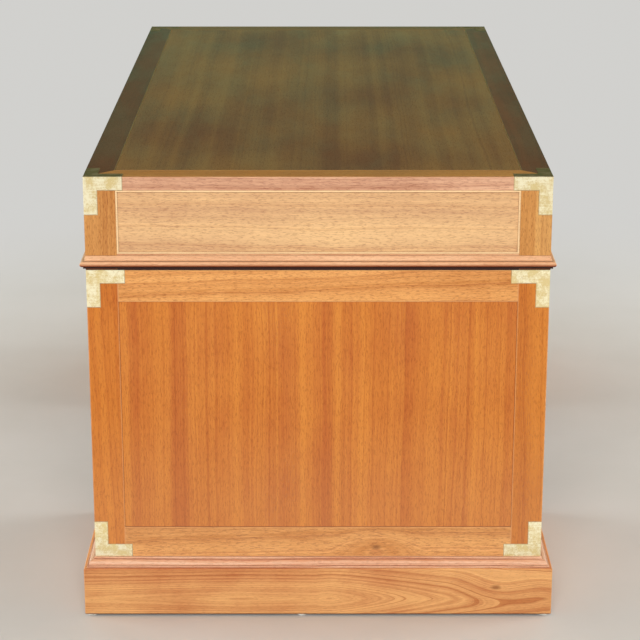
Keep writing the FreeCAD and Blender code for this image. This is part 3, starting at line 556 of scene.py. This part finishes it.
class WoodTree(Tree):
    """The shader nodes of a polished hardwood, with the values that its steps share. An edged wood
    has upright faces painted paler, as painted light, and a painted highlight in its groove."""

    def __init__(self, owner, edged):
        super().__init__(owner)
        self.edged = edged
        self.grain = self.attribute("grain")
        self.knot = self.length(self.attribute("knot"))
        self.radius = ring_radius(self, self.grain, self.knot)
        self.bands, self.dashes, self.lines = self.split(self.attribute("marks"))
        self.sap, self.clean, self.clouds = self.split(self.attribute("stain_and_shadow"))
        self.arris_highlight, self.grime, self.hidden = self.split(self.attribute("rim"))
        self.up = self.normal()[2]
        self.upright = self.math("LESS_THAN", self.math("ABSOLUTE", self.up), UPRIGHT)
        self.fibre = self.noise(self.grain, FIBRE_SCALE, detail=3.0, roughness=0.7)["Fac"]
        self.ragged = self.noise(self.grain, RAGGED_SCALE)["Fac"]
        dash = self.noise(self.grain, PORE_SCALE, roughness=0.6)["Fac"]
        self.pore = self.ramp(dash, *PORE_SPAN)
        rim = self.math("SUBTRACT", rim_distance(self), self.hidden)
        self.broken_rim = self.math("MULTIPLY_ADD", self.ragged, RAGGED_EDGE, rim)

    def two_colours(self):
        """The wood's light and dark, mixed by clouds, broad and fine bands, mottle and fibres."""
        cloud = self.noise(self.grain, CLOUD_SCALE, detail=1.0)["Fac"]
        broad = self.line_noise(self.radius, BROAD_BANDS, detail=1.5)
        fine = self.line_noise(self.radius, FINE_BANDS, detail=2.0, roughness=0.6)
        mottle = self.noise(self.grain, MOTTLE_SCALE, detail=3.0)["Fac"]
        parts = (
            (cloud, self.clouds, CLOUD_WEIGHT),
            (broad, self.bands, BROAD_WEIGHT),
            (fine, self.bands, FINE_WEIGHT),
            (mottle, self.bands, MOTTLE_WEIGHT),
            (self.fibre, self.dashes, FIBRE_WEIGHT),
        )
        mixed = 0.5
        for value, contrast, weight in parts:
            centred = self.math("MULTIPLY", self.math("SUBTRACT", value, 0.5), weight)
            mixed = self.math("MULTIPLY_ADD", centred, contrast, mixed)
        mixed = self.math("ADD", mixed, 0.0, clamp=True)
        light = self.attribute("wood_light", "Color")
        dark = self.attribute("wood_dark", "Color")
        # Painted light: upright faces of the desktop take paler colours, as if lit full on while
        # the top is only grazed.
        if self.edged:
            light = self.mix(self.upright, light, LIT_EDGE_LIGHT)
            dark = self.mix(self.upright, dark, LIT_EDGE_DARK)
        colour = self.mix(mixed, dark, light)
        sap = self.math("MULTIPLY_ADD", self.ragged, RAGGED_SAPWOOD, self.sap)
        sap = self.ramp(sap, *HEARTWOOD_END, 0.0, SAPWOOD_SHARE)
        return self.mix(sap, colour, SAPWOOD_COLOUR)

    def darken(self, share, colour, tint):
        return self.mix(share, colour, tint, "MULTIPLY")

    def inked(self, colour):
        """Dark late-wood lines, the pores that are cut into short dashes, and hearts of knots."""
        late = self.line_noise(self.radius, LATE_WOOD_LINES, detail=3.0, roughness=0.7)
        late = self.ramp(late, *LATE_WOOD_SPAN)
        late = self.math("MULTIPLY", late, self.lines, clamp=True)
        colour = self.darken(late, colour, LINE_TINT)
        dashes = self.math("MULTIPLY", self.pore, self.dashes)
        dashes = self.math("MULTIPLY", dashes, PORE_SHARE, clamp=True)
        colour = self.darken(dashes, colour, DASH_TINT)
        heart = self.math("MULTIPLY_ADD", self.ragged, RAGGED_KNOT, self.knot)
        return self.darken(self.ramp(heart, *KNOT_END, KNOT_SHARE, 0.0), colour, DIRT_AND_SHADE_TINT)

    def dirt_and_shade(self, colour):
        """Dirt along the seams, painted shade in the hollows and below, and a painted black shadow
        line at the foot.
        """
        seam = self.ramp(self.broken_rim, *SEAM_END, 1.0, 0.0)
        colour = self.darken(self.math("MULTIPLY", seam, self.grime), colour, DIRT_AND_SHADE_TINT)
        # Painted shade in the hollows and under the mouldings.
        open_sky = self.add("AmbientOcclusion", {"Distance": HOLLOW_REACH}, samples=8)
        hollow_shade = self.ramp(open_sky.outputs["AO"], *HOLLOW_SPAN, HOLLOW_SHADE_SHARE, 0.0)
        colour = self.darken(hollow_shade, colour, DIRT_AND_SHADE_TINT)
        underside = self.ramp(self.up, *UNDERSIDE_SPAN, UNDERSIDE_SHARE, 0.0)
        colour = self.darken(underside, colour, UNDERSIDE_TINT)
        # Painted shade and a painted black shadow line at the foot of a board.
        shade = self.ramp(self.clean, *SHADE_END, SHADE_SHARE, 0.0)
        colour = self.darken(shade, colour, UNDERSIDE_TINT)
        return self.darken(self.ramp(self.clean, *BLACK_END, 1.0, 0.0), colour, FOOT_SHADOW_TINT)

    def painted_highlights(self, colour):
        """A painted sheen low on the pedestals, and painted highlights along the arrises and, on an
            edged wood, in its groove.
        """
        # Painted sheen, paler towards the foot of the pedestals above the plinth.
        height = self.split(self.place())[2]
        low_sheen = self.ramp(height, *LOW_SHEEN_END, LOW_SHEEN_SHARE, 0.0)
        above_plinth = self.ramp(height, *PLINTH_TOP)
        colour = self.mix(self.math("MULTIPLY", low_sheen, above_plinth), colour, LOW_SHEEN)
        # Painted highlight along the arrises.
        arris = self.ramp(self.broken_rim, *ARRIS_END, 1.0, 0.0)
        arris = self.math("MULTIPLY", arris, self.arris_highlight)
        if self.edged:
            arris = self.math("MULTIPLY", arris, self.upright)
            # Painted highlight on the slanted sides of the groove.
            slanted = self.math("SUBTRACT", 1.0, self.faces(self.up, LEVEL))
            slanted = self.math("SUBTRACT", slanted, self.upright)
            slanted = self.math("MULTIPLY", slanted, GROOVE_HIGHLIGHT_SHARE)
            colour = self.mix(slanted, colour, GROOVE_HIGHLIGHT)
        return self.mix(arris, colour, ARRIS_HIGHLIGHT)


# How much smears change the roughness of the polish down and up, how much pores add to it, and
# how deep pores are beside the height of the fibres.
WOOD_SHINIER = 0.05
WOOD_DULLER = 0.07
PORE_ROUGHNESS = 0.08
PORE_DEPTH = 0.6
FIBRE_HEIGHT = 0.5


def wood(name, roughness, coat, edged=False):
    """Polished hardwood."""
    material = bpy.data.materials.new(name)
    t = WoodTree(material, edged)
    colour = t.painted_highlights(t.dirt_and_shade(t.inked(t.two_colours())))
    smear = t.noise(t.grain, SMEAR_SCALE, detail=3.0)["Fac"]
    gloss = t.ramp(smear, *NOISE_SPAN, roughness - WOOD_SHINIER, roughness + WOOD_DULLER)
    gloss = t.math("MULTIPLY_ADD", t.pore, PORE_ROUGHNESS, gloss)
    height = t.math("MULTIPLY", t.fibre, FIBRE_HEIGHT)
    height = t.math("MULTIPLY_ADD", t.pore, -PORE_DEPTH, height)
    t.finish(
        {
            "Base Color": colour,
            "Roughness": gloss,
            "IOR": 1.5,
            "Specular IOR Level": 0.27,
            "Coat Weight": coat,
            "Coat Roughness": 0.15,
            "Normal": t.bump(strength=0.15, depth=0.0004, height=height),
        }
    )
    return material


BRASS_BRIGHT = linear(255, 246, 214)
BRASS_DULL = linear(228, 206, 150)
# Brown spots; the same brown is the painted shadow along the mounts' seams.
BRASS_SPOT_AND_SHADOW = linear(150, 108, 56)
# The painted dim reflection of the level faces.
BRASS_DIM_REFLECTION = linear(176, 138, 84)
# Scales of the brass's noises, in waves to the metre.
TARNISH_SCALE = (48.0, 48.0, 48.0)
FLECK_SCALE = (300.0, 300.0, 300.0)
SPOT_SCALE = (240.0, 240.0, 240.0)
SCRATCH_SCALES = ((40.0, 900.0, 900.0), (900.0, 40.0, 900.0))
# Where the painted shadow along a mount's seams ends, and how far the clouds move that, in metres.
SEAM_SHADOW_END = (-0.0008, 0.0010)
CLOUDY_EDGE = -0.0016
# Between which values of their noises bright streaks and brown spots come up, and how strong spots
# and the painted shadow along the seams are.
STREAK_SPAN = (0.34, 0.62)
SPOT_SPAN = (0.66, 0.76)
SPOT_SHARE = 0.25
SEAM_SHADOW_SHARE = 0.75
# How much the level faces are painted darker, as a painted dim reflection, and how rough all are,
# from clear places to cloudy ones.
DIM_REFLECTION_SHARES = (0.95, 0.65)
BRASS_ROUGHNESS = (0.36, 0.48)
# How much flecks and scratches add to the clouds, the value of the scratches' noise that adds
# nothing, between which values scratches make the brass rougher, and by how much.
FLECK_WEIGHT = 0.35
SCRATCH_WEIGHT = 0.6
SCRATCH_MIDDLE = 0.6
SCRATCH_SPAN = (0.6, 0.8)
SCRATCH_ROUGHNESS = 0.10


def mount_rim(t):
    """How far a point of a corner mount is from the mount's inner edges, in metres."""
    corner = t.split(t.attribute("corner"))
    normal = t.normal()
    leg = [t.math("SUBTRACT", MOUNT_LEG, corner[axis]) for axis in range(3)]
    width = [t.math("SUBTRACT", MOUNT_WIDTH, corner[axis]) for axis in range(3)]
    total = 0.0
    for axis in range(3):
        one, other = (axis + 1) % 3, (axis + 2) % 3
        along = t.math("MINIMUM", leg[one], width[other])
        across = t.math("MINIMUM", width[one], leg[other])
        nearest = t.math("MAXIMUM", along, across)
        total = t.math("MULTIPLY_ADD", nearest, t.faces(normal[axis]), total)
    return total


def brass():
    """Old polished brass: pale, cloudy and finely scratched, with brown spots, a painted shadow
    along its seams, and its level faces on the desktop painted darker as a painted dim reflection."""
    material = bpy.data.materials.new("aged_brass")
    t = Tree(material)
    place = t.place()
    cloud = t.noise(place, TARNISH_SCALE, detail=4.0, roughness=0.6)["Fac"]
    fleck = t.noise(place, FLECK_SCALE, detail=3.0, roughness=0.6)["Fac"]
    scratch = t.math("MAXIMUM", *[t.noise(place, scale)["Fac"] for scale in SCRATCH_SCALES])
    patch = t.math("MULTIPLY_ADD", t.math("SUBTRACT", fleck, 0.5), FLECK_WEIGHT, cloud)
    streaks = t.math("SUBTRACT", scratch, SCRATCH_MIDDLE)
    streaks = t.math("MULTIPLY_ADD", streaks, SCRATCH_WEIGHT, patch)
    colour = t.mix(t.ramp(streaks, *STREAK_SPAN), BRASS_DULL, BRASS_BRIGHT)
    spot = t.ramp(t.noise(place, SPOT_SCALE)["Fac"], *SPOT_SPAN)
    colour = t.mix(t.math("MULTIPLY", spot, SPOT_SHARE), colour, BRASS_SPOT_AND_SHADOW)
    # Painted shadow along the mount's inner seams.
    edge = t.math("MULTIPLY_ADD", cloud, CLOUDY_EDGE, mount_rim(t))
    colour = t.mix(t.ramp(edge, *SEAM_SHADOW_END, SEAM_SHADOW_SHARE, 0.0), colour, BRASS_SPOT_AND_SHADOW)
    # Level faces painted darker, as a painted dim reflection.
    level = t.math("GREATER_THAN", t.normal()[2], LEVEL)
    dim_reflection = t.math("MULTIPLY", level, t.ramp(patch, *NOISE_SPAN, *DIM_REFLECTION_SHARES))
    colour = t.mix(dim_reflection, colour, BRASS_DIM_REFLECTION)
    gloss = t.ramp(cloud, *NOISE_SPAN, *BRASS_ROUGHNESS)
    gloss = t.math("ADD", gloss, t.ramp(scratch, *SCRATCH_SPAN, 0.0, SCRATCH_ROUGHNESS))
    t.finish(
        {
            "Base Color": colour,
            "Metallic": 1.0,
            "Roughness": gloss,
            "Normal": t.bump(strength=0.12, depth=0.0003, height=scratch),
        }
    )
    return material


# The nylon's two colours, the scale of its patches in waves to the metre, between which values of
# their noise it goes from white to yellowed, and how rough it is from the one to the other.
NYLON_WHITE = linear(232, 230, 222)
NYLON_YELLOWED = linear(196, 190, 176)
NYLON_SCALE = (120.0, 120.0, 120.0)
NYLON_SPAN = (0.4, 0.7)
NYLON_ROUGHNESS = (0.45, 0.6)


def nylon():
    """White nylon, a little yellowed in patches."""
    material = bpy.data.materials.new("white_nylon")
    t = Tree(material)
    cloud = t.noise(t.place(), NYLON_SCALE, detail=3.0)["Fac"]
    colour = t.mix(t.ramp(cloud, *NYLON_SPAN), NYLON_WHITE, NYLON_YELLOWED)
    gloss = t.ramp(cloud, *NOISE_SPAN, *NYLON_ROUGHNESS)
    normal = t.bump(strength=0.1, depth=0.0003, height=cloud)
    t.finish({"Base Color": colour, "Roughness": gloss, "Normal": normal})
    return material


def dress_nodes():
    """Give every CAD node its material, and the attributes that the material reads."""
    finishes = {
        "case_wood": wood("case_wood_polished", roughness=0.32, coat=0.0),
        "top_wood": wood("top_wood_polished", roughness=0.40, coat=0.35, edged=True),
        "drawer_lining": wood("drawer_lining_bare", roughness=0.58, coat=0.0),
        "brass": brass(),
        "nylon": nylon(),
    }
    for name, node in NODES.items():
        mesh = node.data
        slot = mesh.materials[0].name.split(".")[0]
        if name.endswith("corner_mounts"):
            dress_mounts(name)
        elif slot not in ("brass", "nylon"):
            dress_boards(name)
        mesh.materials[0] = finishes[slot]


# --- Stage, light and camera -------------------------------------------------------------------


# How bright the pale backdrop and the far floor look to the camera, where 1 is white, and between
# which distances from the desk's middle the floor runs into the backdrop, in metres.
BACKDROP = (0.64, 0.635, 0.615, 1.0)
BACKDROP_REACH = (1.0, 2.3)
# The floor near the desk, as the camera sees it in two shades, and as the light on it is thrown
# back, with the scale of its clouds in waves to the metre.
FLOOR_SHADES = (linear(208, 205, 198), linear(213, 210, 204))
FLOOR_BOUNCE = linear(160, 157, 150)
FLOOR_SCALE = (2.2, 2.2, 2.2)
# What shines sees the floor glow instead of the lamps: the colour, and the strength round the
# desk, beside it further out, beyond its ends, against its foot, and at most.
GLOW = linear(240, 238, 232)
GLOW_ROUND = 1.7
GLOW_BESIDE = 0.8
GLOW_ENDS = 1.45
GLOW_FOOT = 0.15
GLOW_MOST = 1.5
# Where that glow round the desk fades out, where it changes from beside to beyond its ends, and
# where it comes up from the foot, in metres from the desk's middle and from its outline.
ROUND_REACH = (1.0, 2.4)
ENDS_REACH = (0.8, 1.8)
FOOT_REACH = (0.05, 0.25)
# The plain sky, the bright part of it that only what shines sees, and the lower and the upper part
# of the dim room behind the far end of the desk.
SKY = (0.30, 0.30, 0.29, 1.0)
BRIGHT_SKY = (3.0, 2.9, 2.8, 1.0)
ROOM_LOW = (0.05, 0.48, 0.29, 1.0)
ROOM_HIGH = (0.13, 0.12, 0.06, 1.0)
# Where the room changes from its lower to its upper part and where it ends above, both by height,
# and where it starts towards the far end. Then from which height the sky is bright, and where it
# stops being bright away from the photograph's side. All are parts of a direction of length 1.
ROOM_RISE = (0.10, 0.24)
ROOM_TOP = (0.5, 0.8)
ROOM_SIDE = (0.2, 0.6)
BRIGHT_RISE = (0.45, 0.65)
BRIGHT_SIDE = (-0.35, -0.10)


def floor_glow(t, place, reach):
    """How strongly the floor glows for what shines."""
    near = t.ramp(reach, *ROUND_REACH, GLOW_ROUND, 0.0)
    x, y, _ = [t.math("ABSOLUTE", part) for part in t.split(place)]
    strength = t.math("MAXIMUM", near, t.ramp(x, *ENDS_REACH, GLOW_BESIDE, GLOW_ENDS))
    past_end = t.math("SUBTRACT", x, HALF_LENGTH)
    past_side = t.math("SUBTRACT", y, HALF_DEPTH)
    outside = t.math("MAXIMUM", past_end, past_side)
    return t.math("MINIMUM", strength, t.ramp(outside, *FOOT_REACH, GLOW_FOOT, GLOW_MOST))


def make_floor():
    """A pale floor that runs into the backdrop. What shines sees it as a glow that is brightest
    round the desk and beyond its ends, and dim against its foot."""
    mesh = bpy.data.meshes.new("floor")
    form = bmesh.new()
    bmesh.ops.create_circle(form, cap_ends=True, segments=128, radius=FLOOR_RADIUS)
    form.to_mesh(mesh)
    form.free()
    floor = bpy.data.objects.new("floor", mesh)
    bpy.context.scene.collection.objects.link(floor)
    material = bpy.data.materials.new("floor")
    t = Tree(material)
    place = t.place()
    reach = t.length(place)
    rays = t.add("LightPath").outputs
    cloud = t.noise(place, FLOOR_SCALE, detail=6.0, roughness=0.62)["Fac"]
    pale = t.mix(t.ramp(cloud, *NOISE_SPAN), *FLOOR_SHADES)
    colour = t.mix(rays["Is Camera Ray"], FLOOR_BOUNCE, pale)
    surface = t.add("BsdfPrincipled", {"Base Color": colour, "Roughness": 0.7}).outputs[0]
    distant = t.math("MULTIPLY", t.ramp(reach, *BACKDROP_REACH), rays["Is Camera Ray"])
    backdrop = t.add("Emission", {"Color": BACKDROP, "Strength": 1.0}).outputs[0]
    surface = t.add("MixShader", {0: distant, 1: surface, 2: backdrop}).outputs[0]
    strength = floor_glow(t, place, reach)
    glow = t.add("Emission", {"Color": GLOW, "Strength": strength}).outputs[0]
    surface = t.add("MixShader", {0: rays["Is Glossy Ray"], 1: surface, 2: glow}).outputs[0]
    t.add("OutputMaterial", {"Surface": surface})
    mesh.materials.append(material)


def make_world():
    """A soft even sky, with a dim green room behind the far end of the desk. What shines also sees
    a bright sky high on the photograph's side, and the camera sees the pale backdrop instead."""
    world = bpy.data.worlds.new("studio")
    bpy.context.scene.world = world
    t = Tree(world)
    x, _, z = t.split(t.add("TexCoord").outputs["Generated"])
    rays = t.add("LightPath").outputs
    room = t.mix(t.ramp(z, *ROOM_RISE), ROOM_LOW, ROOM_HIGH)
    behind = t.math("MULTIPLY", t.ramp(x, *ROOM_SIDE), t.ramp(z, *ROOM_TOP, 1.0, 0.0))
    high = t.math("MULTIPLY", t.ramp(z, *BRIGHT_RISE), t.ramp(x, *BRIGHT_SIDE, 1.0, 0.0))
    high = t.math("MULTIPLY", high, rays["Is Glossy Ray"])
    sky = t.mix(behind, t.mix(high, SKY, BRIGHT_SKY), room)
    seen = t.mix(rays["Is Camera Ray"], sky, BACKDROP)
    background = t.add("Background", {"Color": seen, "Strength": 1.0})
    t.add("OutputWorld", {"Surface": background.outputs[0]})


# Each lamp's place and width in metres, and its power in watts.
LAMPS = {
    "key": ((-5.0, 0.1, 2.1), 2.2, 165.0),
    "right": ((0.4, -4.8, 2.1), 2.4, 140.0),
    "left": ((0.4, 4.8, 2.1), 2.4, 110.0),
    "rear_right": ((3.9, -3.0, 1.4), 2.0, 70.0),
    "rear_left": ((3.9, 3.0, 1.4), 2.0, 70.0),
}


def make_lamps():
    """A broad key beside the camera, and soft lamps for the other sides. What shines reflects the
    floor and the sky instead of them."""
    for name, (place, width, watts) in LAMPS.items():
        data = bpy.data.lights.new(name, "AREA")
        data.shape = "SQUARE"
        data.size = width
        data.energy = watts
        lamp = bpy.data.objects.new(name, data)
        lamp.location = place
        aim = DESK_MIDDLE - Vector(place)
        lamp.rotation_euler = aim.to_track_quat("-Z", "Y").to_euler()
        lamp.visible_glossy = False
        bpy.context.scene.collection.objects.link(lamp)


# The photograph's view: where it was taken from, how far it looks down in degrees, how long the
# lens is for its sensor in millimetres, and how the frame is shifted.
CAMERA_PLACE = (-4.153, 0.0, 1.5515)
CAMERA_TILT = 18.03
LENS = 120.6
SENSOR_WIDTH = 36.0
FRAME_SHIFT = (0.003, 0.070)


def make_camera():
    """The photograph's view of the end of the desk."""
    data = bpy.data.cameras.new("camera")
    data.lens = LENS
    data.sensor_width = SENSOR_WIDTH
    data.shift_x, data.shift_y = FRAME_SHIFT
    camera = bpy.data.objects.new("camera", data)
    camera.location = CAMERA_PLACE
    camera.rotation_euler = (math.radians(90 - CAMERA_TILT), 0.0, math.radians(-90))
    bpy.context.scene.collection.objects.link(camera)
    bpy.context.scene.camera = camera


bpy.context.scene.view_settings.view_transform = "Standard"
dress_nodes()
make_floor()
make_world()
make_lamps()
make_camera()
